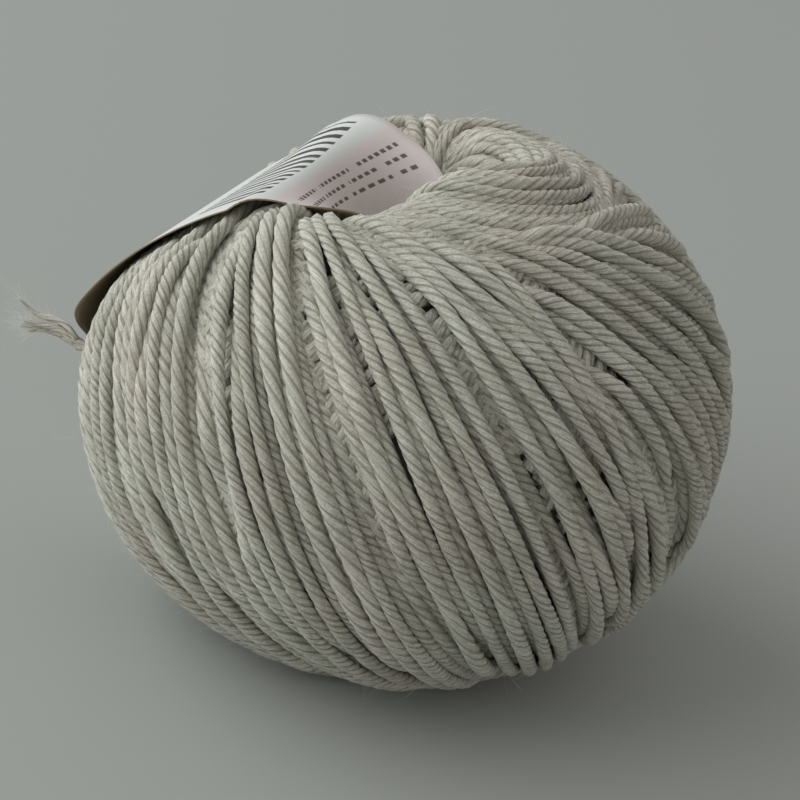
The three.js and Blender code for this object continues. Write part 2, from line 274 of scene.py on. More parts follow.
class Nodes:
    """Short ways to place and join nodes in one tree."""

    def __init__(self, tree):
        self.tree = tree

    def add(self, kind, settings=None, **inputs):
        node = self.tree.nodes.new(kind)
        for name, value in (settings or {}).items():
            setattr(node, name, value)
        self.fill(node, **inputs)
        return node

    def fill(self, node, **inputs):
        """Sets or joins a node's inputs. A low line in a name stands for a space."""
        for name, value in inputs.items():
            self.put(node.inputs[name.replace("_", " ")], value)

    def put(self, socket, value):
        if isinstance(value, bpy.types.NodeSocket):
            self.tree.links.new(value, socket)
        else:
            socket.default_value = value

    def math(self, operation, *values):
        node = self.tree.nodes.new("ShaderNodeMath")
        node.operation = operation
        for socket, value in zip(node.inputs, values):
            self.put(socket, value)
        return node.outputs[0]

    def times(self, first, second):
        return self.math("MULTIPLY", first, second)

    def plus(self, first, second):
        return self.math("ADD", first, second)

    def minus(self, first, second):
        return self.math("SUBTRACT", first, second)

    def mix(self, share, first, second, blend="MIX"):
        node = self.tree.nodes.new("ShaderNodeMix")
        node.data_type = "RGBA"
        node.blend_type = blend
        self.fill(node, Factor=share, A=first, B=second)
        return node.outputs["Result"]

    def ramp(self, value, low, high):
        """0 below low, 1 above high, smooth between."""
        node = self.add("ShaderNodeMapRange", {"interpolation_type": "SMOOTHSTEP"}, Value=value)
        self.fill(node, From_Min=low, From_Max=high)
        return node.outputs["Result"]

    def noise(self, place, scale, detail, roughness=0.5):
        node = self.add("ShaderNodeTexNoise", Vector=place, Scale=scale)
        self.fill(node, Detail=detail, Roughness=roughness)
        return node.outputs["Fac"]

    def own_place(self):
        """Places in the piece's own coordinates."""
        return self.add("ShaderNodeTexCoord").outputs["Object"]

    def mark(self, name, output):
        """What a mesh notes at each of its points."""
        return self.add("ShaderNodeAttribute", {"attribute_name": name}).outputs[output]


def new_group(name, inputs, outputs):
    """A node group, short ways to its nodes, and the nodes for what comes in and what goes out."""
    group = bpy.data.node_groups.new(name, "ShaderNodeTree")
    for in_out, sockets in (("INPUT", inputs), ("OUTPUT", outputs)):
        for label, kind in sockets.items():
            group.interface.new_socket(name=label, in_out=in_out, socket_type=f"NodeSocket{kind}")
    nodes = Nodes(group)
    return group, nodes, nodes.add("NodeGroupInput"), nodes.add("NodeGroupOutput")


def new_material(name, roughness, specular=None):
    """A material, short ways to its nodes, and its surface."""
    material = bpy.data.materials.new(name)
    material.use_nodes = True
    surface = material.node_tree.nodes["Principled BSDF"]
    surface.inputs["Roughness"].default_value = roughness
    if specular is not None:
        surface.inputs["Specular IOR Level"].default_value = specular
    return material, Nodes(material.node_tree), surface


# ---- camera, floor and light

VIEW_ELEVATION = 27 * DEG
VIEW_ROLL = 12 * DEG
VIEW_DISTANCE = 420 * MM
VIEW_WIDTH = 116.6 * MM  # width of the picture at the ball's centre
VIEW_SHIFT = (-0.007, -0.010)  # of the picture's middle, in widths of the picture
SENSOR_WIDTH = 36  # millimetres
VIEW_CLIP = (0.01, 20)
WINDOW_PLACE = Vector((-1.18, -0.08, 0.48))  # from the ball's centre, metres
WINDOW_SIZE = 2.1
WINDOW_WATTS = 25.0
WINDOW_COLOUR = (0.96, 0.99, 1.0)
SKY_COLOUR = (1.0, 0.985, 0.955, 1)
SKY_STRENGTH = 0.4
TABLE_COLOUR = srgb(172, 176, 172)
TABLE_HALF_WIDTH = 3


def make_camera():
    data = bpy.data.cameras.new("camera")
    data.sensor_width = SENSOR_WIDTH
    data.lens = SENSOR_WIDTH * VIEW_DISTANCE / VIEW_WIDTH
    data.shift_x, data.shift_y = VIEW_SHIFT
    data.clip_start, data.clip_end = VIEW_CLIP
    camera = add_object("camera", data)
    back = Vector((0, -math.cos(VIEW_ELEVATION), math.sin(VIEW_ELEVATION)))
    turn = Matrix.Rotation(VIEW_ROLL, 3, back) @ (-back).to_track_quat("-Z", "Y").to_matrix()
    camera.matrix_world = Matrix.Translation(Vector(CENTRE) + back * VIEW_DISTANCE) @ turn.to_4x4()
    bpy.context.scene.camera = camera


def make_floor():
    bm = bmesh.new()
    bmesh.ops.create_grid(bm, x_segments=1, y_segments=1, size=TABLE_HALF_WIDTH)
    floor = add_object("floor", mesh_of(bm, "floor"))
    material, _, surface = new_material("pale_table", 0.75)
    surface.inputs["Base Color"].default_value = TABLE_COLOUR
    floor.data.materials.append(material)


def make_sky():
    """Plain light from all round."""
    world = bpy.data.worlds.new("studio")
    world.use_nodes = True
    background = world.node_tree.nodes["Background"]
    background.inputs["Color"].default_value = SKY_COLOUR
    background.inputs["Strength"].default_value = SKY_STRENGTH
    bpy.context.scene.world = world


def make_window():
    """A large square soft lamp that faces the ball's centre."""
    data = bpy.data.lights.new("window", "AREA")
    data.shape = "SQUARE"
    data.size = WINDOW_SIZE
    data.energy = WINDOW_WATTS
    data.color = WINDOW_COLOUR
    lamp = add_object("window", data)
    lamp.location = Vector(CENTRE) + WINDOW_PLACE
    lamp.rotation_mode = "QUATERNION"
    lamp.rotation_quaternion = (-WINDOW_PLACE).to_track_quat("-Z", "Y")


make_camera()
make_floor()
make_sky()
make_window()
bpy.context.scene.view_settings.view_transform = "Standard"


# ---- depths round the ring circle
# A place on the ball is an azimuth, from -Y towards +X, and a turn round the ring circle, from
# outwards through up. Its depth is the distance from the ring circle.

AZIMUTH_CELLS = 900
TURN_CELLS = 640
PROBES = (220, 240)  # places where the CAD form is felt, round the axis and round the ring circle
FORM_BLUR = (4.5, 2.2)  # cells; it takes the facets off
SIDE_SIGHT = 0.35  # how far to the side, for its depth, a strand still shows through a gap
STRAND_LIFT = 0.25 * MM  # how far the newest strands stand out of the ball's form
# How far below the form a strand is pushed at most, by the hole and on the side.
DEEPEST = (1.25 * MM, 3.0 * MM)
OPEN_DEPTH = 1.3 * MM  # a place with no strand above this depth is a gap
STRANDS_IN_GAP = 2  # that many are drawn in it
SEEN_ACROSS = np.linspace(-1, 1, 17)  # places looked at across a strand
SEEN_WIDTH = 1.25  # how far out the last of them lie, in radii
GAP_WIDTH = 7  # how many of them must be open
BARE_MARGIN = 0.12 * MM
SIGHT_STEPS = 60  # places looked at along a line of sight
SIGHT_HALVINGS = 12  # of the step that meets the skin
SIGHT_ENDS = (62, 14)  # from the ball's centre, millimetres
# Soft hills and hollows of the crown: how high, azimuth and turn of the middle, how wide towards
# higher and lower azimuths, and how wide along the turn.
CROWN_HILLS = [
    (2.8 * MM, 40 * DEG, 110 * DEG, 58 * DEG, 92 * DEG, 13 * DEG),  # the near lip of the hole
    (1.5 * MM, -52 * DEG, 100 * DEG, 22 * DEG, 22 * DEG, 14 * DEG),  # up to the paper's near edge
    (-1.5 * MM, -145 * DEG, 92 * DEG, 27 * DEG, 27 * DEG, 24 * DEG),  # beyond the band
]


def ring_to_point(azimuth, turn, distance):
    r = RING_RADIUS + distance * np.cos(turn)
    return np.stack([
        AXIS_X + r * np.sin(azimuth),
        AXIS_Y - r * np.cos(azimuth),
        CENTRE_HEIGHT + distance * np.sin(turn),
    ], axis=-1)


def point_to_ring(points):
    x = points[..., 0] - AXIS_X
    y = points[..., 1] - AXIS_Y
    z = points[..., 2] - CENTRE_HEIGHT
    out = np.hypot(x, y) - RING_RADIUS
    return np.arctan2(x, -y), np.arctan2(z, out), np.hypot(out, z)


def look_up(grid, azimuth, turn):
    """The grid's value between its cells."""
    rows, columns = grid.shape
    i = np.mod(azimuth / TURN, 1) * rows
    j = np.mod(turn / TURN, 1) * columns
    i0 = np.floor(i).astype(int)
    j0 = np.floor(j).astype(int)
    fi = i - i0
    fj = j - j0
    i0 %= rows
    j0 %= columns
    i1 = (i0 + 1) % rows
    j1 = (j0 + 1) % columns
    low = grid[i0, j0] * (1 - fj) + grid[i0, j1] * fj
    high = grid[i1, j0] * (1 - fj) + grid[i1, j1] * fj
    return low * (1 - fi) + high * fi


def blur(grid, across, along):
    """The grid with a soft round blur, in cells, that runs on over its edges."""
    f0 = np.fft.fftfreq(grid.shape[0])[:, None] * across
    f1 = np.fft.fftfreq(grid.shape[1])[None, :] * along
    return np.real(np.fft.ifft2(np.fft.fft2(grid) * np.exp(-2 * (math.pi**2) * (f0**2 + f1**2))))


def form_of_ball():
    """Depth of the CAD ball's skin all round, without its facets."""
    tree = search_tree("ball")
    probe = np.zeros(PROBES)
    for i, j in np.ndindex(PROBES):
        azimuth = i / PROBES[0] * TURN
        turn = j / PROBES[1] * TURN
        start = ring_to_point(azimuth, turn, 0.0)
        ahead = ring_to_point(azimuth, turn, 1.0) - start
        probe[i, j] = tree.ray_cast(Vector(start), Vector(ahead))[3]
    azimuth = np.arange(AZIMUTH_CELLS)[:, None] / AZIMUTH_CELLS * TURN
    turn = np.arange(TURN_CELLS)[None, :] / TURN_CELLS * TURN
    form = blur(look_up(probe, azimuth + 0 * turn, turn + 0 * azimuth), *FORM_BLUR)
    for height, middle, top, wide, wide_back, tall in CROWN_HILLS:
        beside = np.mod(azimuth - middle + math.pi, TURN) - math.pi
        share = beside / np.where(beside < 0, wide_back, wide)
        form += height * np.exp(-(share**2) - ((turn - top) / tall) ** 2)
    return form


skin = form_of_ball()
ceiling = skin + STRAND_LIFT
roof = np.zeros_like(skin)  # the outermost yarn laid so far
heaps = np.zeros(skin.shape, int)  # how many drawn strands lie there


def onto_skin(far, near):
    """Azimuth and turn where lines from far points to near ones first meet the skin."""
    steps = np.linspace(0, 1, SIGHT_STEPS)[:, None, None]
    points = far + (near - far) * steps
    azimuth, turn, distance = point_to_ring(points)
    inside = distance < look_up(skin, azimuth, turn)
    first = np.maximum(np.argmax(inside, axis=0), 1)
    low = (first - 1) / (SIGHT_STEPS - 1)
    high = first / (SIGHT_STEPS - 1)
    for _ in range(SIGHT_HALVINGS):
        middle = (low + high) / 2
        azimuth, turn, distance = point_to_ring(far + (near - far) * middle[:, None])
        inside = distance < look_up(skin, azimuth, turn)
        high = np.where(inside, middle, high)
        low = np.where(inside, low, middle)
    return azimuth, turn


# ---- laying strands

# Places across a strand, in radii: where it finds what it lies against, and where it covers the grid.
FOOTPRINT = np.linspace(-0.92, 0.92, 7)
COVER = np.linspace(-0.96, 0.96, 11)


def even_out(values, closed, reach):
    """A soft blur along a strand, reach in points."""
    width = int(3 * reach)
    kernel = np.exp(-0.5 * (np.arange(-width, width + 1) / reach) ** 2)
    kernel /= kernel.sum()
    mode = "wrap" if closed else "edge"
    return np.convolve(np.pad(values, width, mode=mode), kernel, mode="valid")


def angle_steps(angles, closed):
    """How far each angle of a path goes on from point to point."""
    if closed:
        return (np.mod(np.roll(angles, -1) - np.roll(angles, 1) + math.pi, TURN) - math.pi) / 2
    return np.gradient(np.unwrap(angles))


def crowding(r):
    """0 near the hole, where the strands crowd together, to 1 on the ball's side."""
    return smooth_step((r - CROWN_RADII[0]) / (CROWN_RADII[1] - CROWN_RADII[0]))


def cells(azimuth, turn):
    """The grid's cells at some places."""
    i = np.round(np.mod(azimuth / TURN, 1) * AZIMUTH_CELLS).astype(int) % AZIMUTH_CELLS
    j = np.round(np.mod(turn / TURN, 1) * TURN_CELLS).astype(int) % TURN_CELLS
    return i, j


def lay(azimuth, turn, closed, bound=None, ease=3.5):
    """Lays one strand along a path, and lowers the ceiling and raises the roof by it.

    Returns its depths, and where it shows: where some of its width isn't under strands that lie there
    already, or where it lies in a gap between them.
    """
    base = look_up(skin, azimuth, turn)
    r = RING_RADIUS + base * np.cos(turn)
    radius = PACKED_RADIUS * (CROWN_PRESS + (1 - CROWN_PRESS) * crowding(r))
    deepest = DEEPEST[0] + (DEEPEST[1] - DEEPEST[0]) * crowding(r)
    along_azimuth = angle_steps(azimuth, closed) * r
    along_turn = angle_steps(turn, closed) * base
    length = np.hypot(along_azimuth, along_turn) + 1e-12
    side_azimuth = -along_turn / length / r
    side_turn = along_azimuth / length / base

    def beside(offset):
        return azimuth + offset * side_azimuth, turn + offset * side_turn

    depths = np.full(len(azimuth), 1.0)
    for share in FOOTPRINT:
        offset = share * radius
        here = look_up(ceiling, *beside(offset))
        depths = np.minimum(depths, here - np.sqrt(radius**2 - offset**2))
    depths = np.maximum(depths, base - deepest - radius)
    free = np.zeros(len(azimuth), bool)
    open_places = np.zeros(len(azimuth), int)
    seen_width = SEEN_WIDTH * radius + SIDE_SIGHT * (base - depths - radius)
    for share in SEEN_ACROSS:
        place = beside(share * seen_width)
        free |= look_up(ceiling, *place) > look_up(skin, *place) + STRAND_LIFT - BARE_MARGIN
        here = cells(*place)
        open_places += (roof[here] < skin[here] - OPEN_DEPTH) & (heaps[here] < STRANDS_IN_GAP)
    free |= open_places >= GAP_WIDTH
    depths = even_out(depths, closed, ease)
    if bound is not None:
        depths = np.minimum(depths, bound)
    covered = []
    for share in COVER:
        offset = share * radius
        under = depths - np.sqrt(radius**2 - offset**2)
        a, t = beside(offset)
        for shift in (0.0, 1 / 3, 2 / 3):
            here = cells(a + shift * along_azimuth / r, t + shift * along_turn / base)
            np.minimum.at(ceiling, here, under)
            np.maximum.at(roof, here, 2 * depths - under)
            covered.append((here[0] * TURN_CELLS + here[1])[free])
    heaps.ravel()[np.unique(np.concatenate(covered))] += 1
    return depths, free


def resample(points, step, closed):
    """Points evenly step apart along a line through the given ones."""
    if closed:
        points = np.vstack([points, points[:1]])
    lengths = lengths_along(points)
    count = max(4, int(round(lengths[-1] / step)))
    targets = np.linspace(0, lengths[-1], count + 1)
    if closed:
        targets = targets[:-1]
    return between(targets, lengths, points)


def wave(count, closed, scale, strength, source):
    """A slow random sway along a strand, scale in points."""
    noise = source.standard_normal(count)
    sway = even_out(noise, closed, scale)
    return sway / (np.std(sway) + 1e-9) * strength


strands = []


def add_strand(azimuth, turn, closed, source, **settings):
    """Lays a strand and notes the stretches of it that show."""
    depths, shown = lay(azimuth, turn, closed, **settings)
    points = ring_to_point(azimuth, turn, depths)
    points[:, 2] = np.maximum(points[:, 2], FLAT_FOOT)
    from_axis = np.hypot(points[:, 0] - AXIS_X, points[:, 1] - AXIS_Y)
    strands.append({
        "points": points,
        "girth": CROWN_GIRTH + (1 - CROWN_GIRTH) * crowding(from_axis),
        "shown": shown,
        "closed": closed,
        "tone": source.uniform(-1, 1),
    })


def leaned_circle(s, swing, lean, closed):
    """A great circle leaned over from the axis, drawn on the skin."""
    directions = np.stack([
        np.cos(s) * np.sin(swing) * np.sin(lean) + np.sin(s) * np.cos(swing),
        -np.cos(s) * np.cos(swing) * np.sin(lean) + np.sin(s) * np.sin(swing),
        np.cos(s) * np.cos(lean),
    ], axis=1)
    directions = unit(directions)
    azimuth, turn = onto_skin(*(CENTRE + directions * reach * MM for reach in SIGHT_ENDS))
    points = resample(ring_to_point(azimuth, turn, look_up(skin, azimuth, turn)), YARN_STEP, closed)
    azimuth, turn, _ = point_to_ring(points)
    return azimuth, turn


def winding_loop(start, angle, source):
    """One loop of the outer winding, with a little sway."""
    count = 400
    s = np.arange(count) / count * TURN
    lean = angle + wave(count, True, *LEAN_SWAY, source)
    swing = start + wave(count, True, *SWING_SWAY, source)
    azimuth, turn = leaned_circle(s, swing, lean, True)
    add_strand(azimuth, turn, True, source)


def top_strand(source):
    """The strand that crosses over the others, with its ends tucked in under them."""
    count = 260
    s = np.linspace(*TOP_STRETCH, count)
    lean = TOP_LOOP[1] + wave(count, False, *TOP_SWAY, source)
    azimuth, turn = leaned_circle(s, TOP_LOOP[0], lean, False)
    travel = np.arange(len(azimuth)) * YARN_STEP
    from_end = np.minimum(travel, travel[-1] - travel)
    tuck = TOP_TUCK * (1 - smooth_step(from_end / TOP_TUCK_LENGTH))
    bound = look_up(skin, azimuth, turn) + STRAND_LIFT - PACKED_RADIUS - tuck
    add_strand(azimuth, turn, False, source, bound=bound)


def spread_order(count):
    """0 to count - 1, ordered so that early ones lie far apart."""
    bits = max(1, math.ceil(math.log2(count)))
    reverse = [int(format(i, f"0{bits}b")[::-1], 2) for i in range(2**bits)]
    return [i for i in reverse if i < count]


def outer_winding(source):
    """Loops from the newest to the oldest, each set a little further round, slightly bunched."""
    count = 2 * STRANDS

    def loop(k):
        place = k / STRANDS * math.pi
        bunch = BUNCHING * math.pi / STRANDS * math.sin(BUNDLES * place)
        place += bunch + source.normal() * PLACE_SPREAD
        angle = WINDING_ANGLE + source.uniform(-1, 1) * LEAN_SPREAD
        winding_loop(NEWEST_START + place, angle, source)

    for first in range(0, count, SET_OF_LOOPS):
        size = min(SET_OF_LOOPS, count - first)
        for k in spread_order(size):
            loop(first + k)
        for k in spread_order(LOOPS_BETWEEN):
            loop(first + (k + 0.5) / LOOPS_BETWEEN * size)
    for k in range(LOOPS_UNDER):
        loop((k + UNDER_SHIFT) / LOOPS_UNDER * count)


def crown_rows(side, source):
    """Older turns side by side, from under the outer winding to the hole's wall.

    side is 1 for the upper crown and -1 for the lower one.
    """
    count = 160
    turns = np.linspace(*CROWN_ROW_ENDS, count)
    depth = look_up(skin, np.full(count, 90 * DEG), side * turns)
    r = RING_RADIUS + depth * np.cos(turns)
    step = np.hypot(np.gradient(r), np.gradient(depth * np.sin(turns)))
    for rows, width in CROWN_ROWS:
        slope = rows * width / (TURN * r)
        swing = np.cumsum(step * np.sqrt(1 - slope**2) / (slope * r))
        for k in range(rows):
            azimuth = (k + source.uniform(-ROW_SPREAD, ROW_SPREAD)) / rows * TURN + swing
            turn = side * turns + wave(count, False, *ROW_SWAY, source)
            points = ring_to_point(azimuth, turn, look_up(skin, azimuth, turn))
            azimuth, turn, _ = point_to_ring(resample(points, YARN_STEP, False))
            add_strand(azimuth, turn, False, source)


def hole_wall(source):
    """The turns of the inner layers, which make the wall of the hole."""
    turn_at = WALL_ENDS[0]
    reach = np.linspace(-WALL_ARC_REACH, WALL_ARC_REACH, 30)
    while turn_at < WALL_ENDS[1]:
        depth = float(look_up(skin, np.array([90 * DEG]), np.array([turn_at]))[0])
        tangent = RING_RADIUS + depth * math.cos(turn_at) + YARN_RADIUS
        swing = np.arctan2(reach, tangent)
        dive = WALL_ARC_DIVE * (tangent * (1 / np.cos(swing) - 1))
        start = source.uniform(0, TURN)
        for k in range(WALL_ARCS):
            azimuth = start + k / WALL_ARCS * TURN + source.normal() * WALL_ARC_SPREAD + swing
            turn = turn_at + source.normal() * WALL_ARC_SLOPE * reach / depth
            bound = look_up(skin, azimuth, turn) - PACKED_RADIUS - dive
            add_strand(azimuth, turn, False, source, bound=bound, ease=2.0)
        turn_at += WALL_PITCH / depth


def tail_path():
    """The loose end's centreline: first under the newest strands, then free."""
    route = np.array(TAIL_ROUTE) * MM + [AXIS_X, AXIS_Y, 0]
    ends = lengths_along(route)[TAIL_LIES - 1]
    smooth = resample(route, FINE_STEP, False)
    for _ in range(12):
        smooth[1:-1] = (smooth[:-2] + 2 * smooth[1:-1] + smooth[2:]) / 4
    points = resample(smooth, YARN_STEP, False)
    travel = np.arange(len(points)) * YARN_STEP
    azimuth, turn, distance = point_to_ring(points)
    depths = np.minimum(distance, look_up(skin, azimuth, turn) - TAIL_SUNK)
    free = smooth_step((travel - ends + TAIL_RISE_START) / TAIL_RISE_LENGTH)
    points = ring_to_point(azimuth, turn, depths + (distance - depths) * free)
    return resample(points, YARN_STEP, False)


tail_line = tail_path()
top_strand(np.random.default_rng(10))
outer_winding(np.random.default_rng(11))
crown_rows(1, np.random.default_rng(13))
crown_rows(-1, np.random.default_rng(14))
hole_wall(np.random.default_rng(15))


# ---- yarn as twisted tubes


def ply_section(name, radius, plies, crease):
    """The cross-section of the yarn: a ridge for each ply and a crease between two."""
    curve = bpy.data.curves.new(name, "CURVE")
    spline = curve.splines.new("POLY")
    spline.points.add(2 * plies - 1)
    for k, point in enumerate(spline.points):
        angle = k / (2 * plies) * TURN
        reach = radius * (RIDGE_SHARE if k % 2 == 0 else crease)
        point.co = (reach * math.cos(angle), reach * math.sin(angle), 0, 1)
    spline.use_cyclic_u = True
    return bpy.data.objects.new(name, curve)


yarn_section = ply_section("yarn_section", YARN_RADIUS, PLIES, CREASE_SHARE)
single_section = ply_section("single_section", SINGLE_RADIUS, 3, 0.96)
fibre_section = ply_section("fibre_section", FIBRE_RADIUS, 2, 1.0)


def shown_runs(strand):
    """The stretches of a strand that show, each as an index array."""
    shown = strand["shown"]
    count = len(shown)
    grown = shown.copy()
    for shift in range(1, RUN_MARGIN + 1):
        grown |= np.roll(shown, shift) | np.roll(shown, -shift)
    if grown.all():
        return [(np.arange(count), strand["closed"])]
    if not grown.any():
        return []
    start = int(np.argmin(grown)) if strand["closed"] else 0
    order = (np.arange(count) + start) % count
    flags = grown[order]
    runs = []
    edges = np.flatnonzero(np.diff(np.r_[0, flags.astype(int), 0]))
    for begin, end in zip(edges[::2], edges[1::2]):
        if end - begin >= SHORTEST_RUN:
            runs.append((order[begin:end], False))
    return runs


def close_ends(mesh):
    bm = bmesh.new()
    bm.from_mesh(mesh)
    bmesh.ops.holes_fill(bm, edges=[edge for edge in bm.edges if edge.is_boundary], sides=0)
    bm.to_mesh(mesh)
    bm.free()


def twist_and_girth(lengths, closed, phase, girth):
    """Turns of the plies along a strand, and its thickness. Where the twist is loose it is thicker."""
    slack = LAY_SPREAD * math.sin(7.3 * phase)
    if closed:
        slow = 2 * round(lengths[-1] / (2 * LAY_SWAY_LENGTH)) * math.pi / lengths[-1]
    else:
        slow = TURN / LAY_SWAY_LENGTH
    turns = lengths / (LAY_LENGTH * math.exp(slack))
    turns -= LAY_SWAY * (1 - np.cos(slow * lengths)) / (slow * LAY_LENGTH)
    sway = 1 + GIRTH_SWAY_LONG[0] * np.sin(lengths / GIRTH_SWAY_LONG[1] + phase)
    sway += GIRTH_SWAY_SHORT[0] * np.sin(lengths / GIRTH_SWAY_SHORT[1] - phase)
    sway *= girth * (1 + 0.4 * slack) * (1 - 0.25 * LAY_SWAY * np.sin(slow * lengths))
    return turns, sway


def yarn_piece(name, runs, section, material, taper=None):
    """One mesh of many stretches of yarn. A run is (points, closed, tone, start of its twist, girth)."""
    curve = bpy.data.curves.new(name, "CURVE")
    curve.dimensions = "3D"
    curve.twist_mode = "MINIMUM"
    curve.bevel_mode = "OBJECT"
    curve.bevel_object = section
    around = len(section.data.splines[0].points)
    length_of = []
    tone_of = []
    for points, closed, tone, phase, girth in runs:
        lengths = lengths_along(points)
        turns, sway = twist_and_girth(lengths, closed, phase, girth)
        if taper:
            sway *= taper(lengths / lengths[-1])
        spline = curve.splines.new("POLY")
        spline.points.add(len(points) - 1)
        spline.points.foreach_set("co", np.c_[points, np.ones(len(points))].ravel())
        spline.points.foreach_set("tilt", phase - turns * TURN)
        spline.points.foreach_set("radius", sway)
        spline.use_cyclic_u = closed
        spline.use_smooth = True
        length_of.append(np.repeat(turns * LAY_LENGTH, around))
        tone_of.append(np.full(len(points) * around, tone))
    shaper = add_object(name + "_shaper", curve)
    bpy.context.view_layer.update()
    mesh = bpy.data.meshes.new_from_object(shaper.evaluated_get(bpy.context.evaluated_depsgraph_get()))
    bpy.data.objects.remove(shaper)
    bpy.data.curves.remove(curve)
    mesh.name = name
    lengths = np.concatenate(length_of)
    tones = np.concatenate(tone_of)
    if len(mesh.vertices) != len(lengths):
        raise ValueError(f"{name}: {len(mesh.vertices)} vertices for {len(lengths)} expected")
    angle = np.tile(np.arange(around) / around * TURN, len(lengths) // around)
    place = np.stack([np.cos(angle), np.sin(angle), lengths / LAY_LENGTH], axis=1)
    places = mesh.attributes.new("ply_place", "FLOAT_VECTOR", "POINT")
    places.data.foreach_set("vector", place.astype(np.float32).ravel())
    mesh.attributes.new("tone", "FLOAT", "POINT").data.foreach_set("value", tones.astype(np.float32))
    close_ends(mesh)
    mesh.shade_smooth()
    mesh.materials.clear()
    mesh.materials.append(material)
    piece = add_object(name, mesh)
    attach(piece, "root")
    return piece


# ---- materials

# The crease colour is painted shade: it darkens the creases between the plies, where shade falls.
YARN_COLOURS_AND_CREASE_SHADE = (srgb(187, 184, 169), srgb(234, 233, 223), srgb(118, 111, 92))  # fibre, pale, crease
FIBRE_SHADES = (srgb(206, 202, 190), srgb(240, 238, 230))
# The core under the strands is painted dark: painted shade for the deep layers seen through gaps.
CORE_PAINTED_SHADE_COLOURS = (srgb(96, 90, 78), srgb(140, 133, 118))
TINTS = ((0.985, 1.0, 0.985, 1), (1.0, 0.965, 0.96, 1))  # a breath of green and of rose
# How far the painted crease shade darkens the creases.
PAINTED_CREASE_SHADE_SHARE = 0.58
LABEL_COLOURS = {
    "White": srgb(221, 223, 221),
    "Pink": srgb(228, 218, 216),
    "Bar_Ink": srgb(82, 78, 80),
    "Dash_Ink": srgb(112, 104, 104),
}
# The band's plain inside: brown paper, its dark tone partly painted shade for the shadow inside the band.
PAINTED_SHADE_PAPER_INSIDE = srgb(146, 132, 108)
PAPER_FINISH = (0.55, 0.35)  # roughness and shine
PAPER_GRAIN = (1500.0, 3.0)  # scale and detail


def plied_fibre_group():
    """Painted shade in the creases between the plies, fibres along them and soft changes of tone."""
    colours = dict.fromkeys(["Fibre", "Pale Fibre", "Crease"], "Color")
    group, n, given, out = new_group(
        "plied_fibres",
        {"Place": "Vector", "Object": "Vector", "Tone": "Float", **colours},
        {"Color": "Color", "Height": "Float"},
    )
    cosine, sine, run = n.add("ShaderNodeSeparateXYZ", Vector=given.outputs["Place"]).outputs
    spot = given.outputs["Object"]
    # The cosine of five times the angle, from the angle's own cosine.
    squared = n.times(cosine, cosine)
    inner = n.math("MULTIPLY_ADD", n.math("MULTIPLY_ADD", squared, 16.0, -20.0), squared, 5.0)
    # ridge is 1 on a ply and 0 in a crease; it sets the bump and the painted crease shade.
    ridge = n.ramp(n.times(cosine, inner), -1.05, -0.35)
    # Fibres run along the plies, so the pattern is drawn out that way.
    x, y, z = n.times(cosine, 3.4), n.times(sine, 3.4), n.times(run, 2.3)
    drawn_out = n.add("ShaderNodeCombineXYZ", X=x, Y=y, Z=z).outputs[0]
    streak = n.ramp(n.noise(drawn_out, 2.6, 5.0, 0.65), 0.36, 0.66)
    speck = n.ramp(n.noise(spot, 2600.0, 3.0, 0.6), 0.35, 0.68)
    patch = n.noise(spot, 120.0, 2.0)
    pale = n.plus(n.times(streak, 0.6), n.times(speck, 0.3))
    pale = n.plus(pale, n.times(given.outputs["Tone"], 0.10))
    pale = n.plus(pale, n.times(n.minus(patch, 0.5), 0.6))
    colour = n.mix(n.ramp(pale, 0.0, 0.9), given.outputs["Fibre"], given.outputs["Pale Fibre"])
    tint = n.mix(n.ramp(n.noise(spot, 75.0, 1.0, 0.4), 0.42, 0.66), *TINTS)
    colour = n.mix(1.0, colour, tint, "MULTIPLY")
    # Painted shade: the creases between the plies are darkened towards the crease colour.
    colour = n.mix(n.times(n.minus(1.0, ridge), PAINTED_CREASE_SHADE_SHARE), colour, given.outputs["Crease"])
    height = n.plus(n.times(ridge, 0.7), n.times(streak, 0.30))
    height = n.plus(height, n.times(speck, 0.16))
    n.fill(out, Color=colour, Height=height)
    return group


plied_fibres = plied_fibre_group()


def yarn_material():
    material, n, surface = new_material("greige_yarn", 0.93, 0.2)
    # The third colour is the painted shade of the creases between the plies.
    fibre, pale, crease = YARN_COLOURS_AND_CREASE_SHADE
    look = n.add("ShaderNodeGroup", {"node_tree": plied_fibres})
    n.fill(look, Place=n.mark("ply_place", "Vector"), Object=n.own_place(), Tone=n.mark("tone", "Fac"))
    n.fill(look, Fibre=fibre, Pale_Fibre=pale, Crease=crease)
    bump = n.add("ShaderNodeBump", Height=look.outputs["Height"], Strength=0.8, Distance=0.0002)
    n.fill(surface, Base_Color=look.outputs["Color"], Normal=bump.outputs["Normal"])
    n.fill(surface, Sheen_Weight=0.25, Sheen_Roughness=0.5)
    return material


greige_yarn = yarn_material()


def fibre_material():
    """Single loose fibres, pale, and each a little different."""
    material, n, surface = new_material("single_fibres", 0.8, 0.2)
    grain = n.noise(n.own_place(), 400.0, 1.0)
    share = n.plus(n.times(n.mark("tone", "Fac"), 0.5), n.times(grain, 0.5))
    n.fill(surface, Base_Color=n.mix(share, *FIBRE_SHADES))
    return material


fibre_look = fibre_material()


# ---- the paper band


def smooth_max(a, b, blend):
    near = np.maximum(blend - np.abs(a - b), 0) / blend
    return np.maximum(a, b) + near * near * blend / 4


def band_height(r):
    """Half the height of the band's run at a distance from the axis."""
    shoulder = BAND_RISE * np.maximum(0, 1 - (r / BAND_REACH) ** BAND_FLATNESS) ** (1 / BAND_FLATNESS)
    lean = np.maximum(0, r - BAND_HOLE_RADIUS) / (BAND_CREST_RADIUS - BAND_HOLE_RADIUS)
    chute = BAND_CHUTE_START + (BAND_CHUTE_TOP - BAND_CHUTE_START) * np.sqrt(lean)
    return -smooth_max(-shoulder, -chute, BAND_CREST_BLEND)


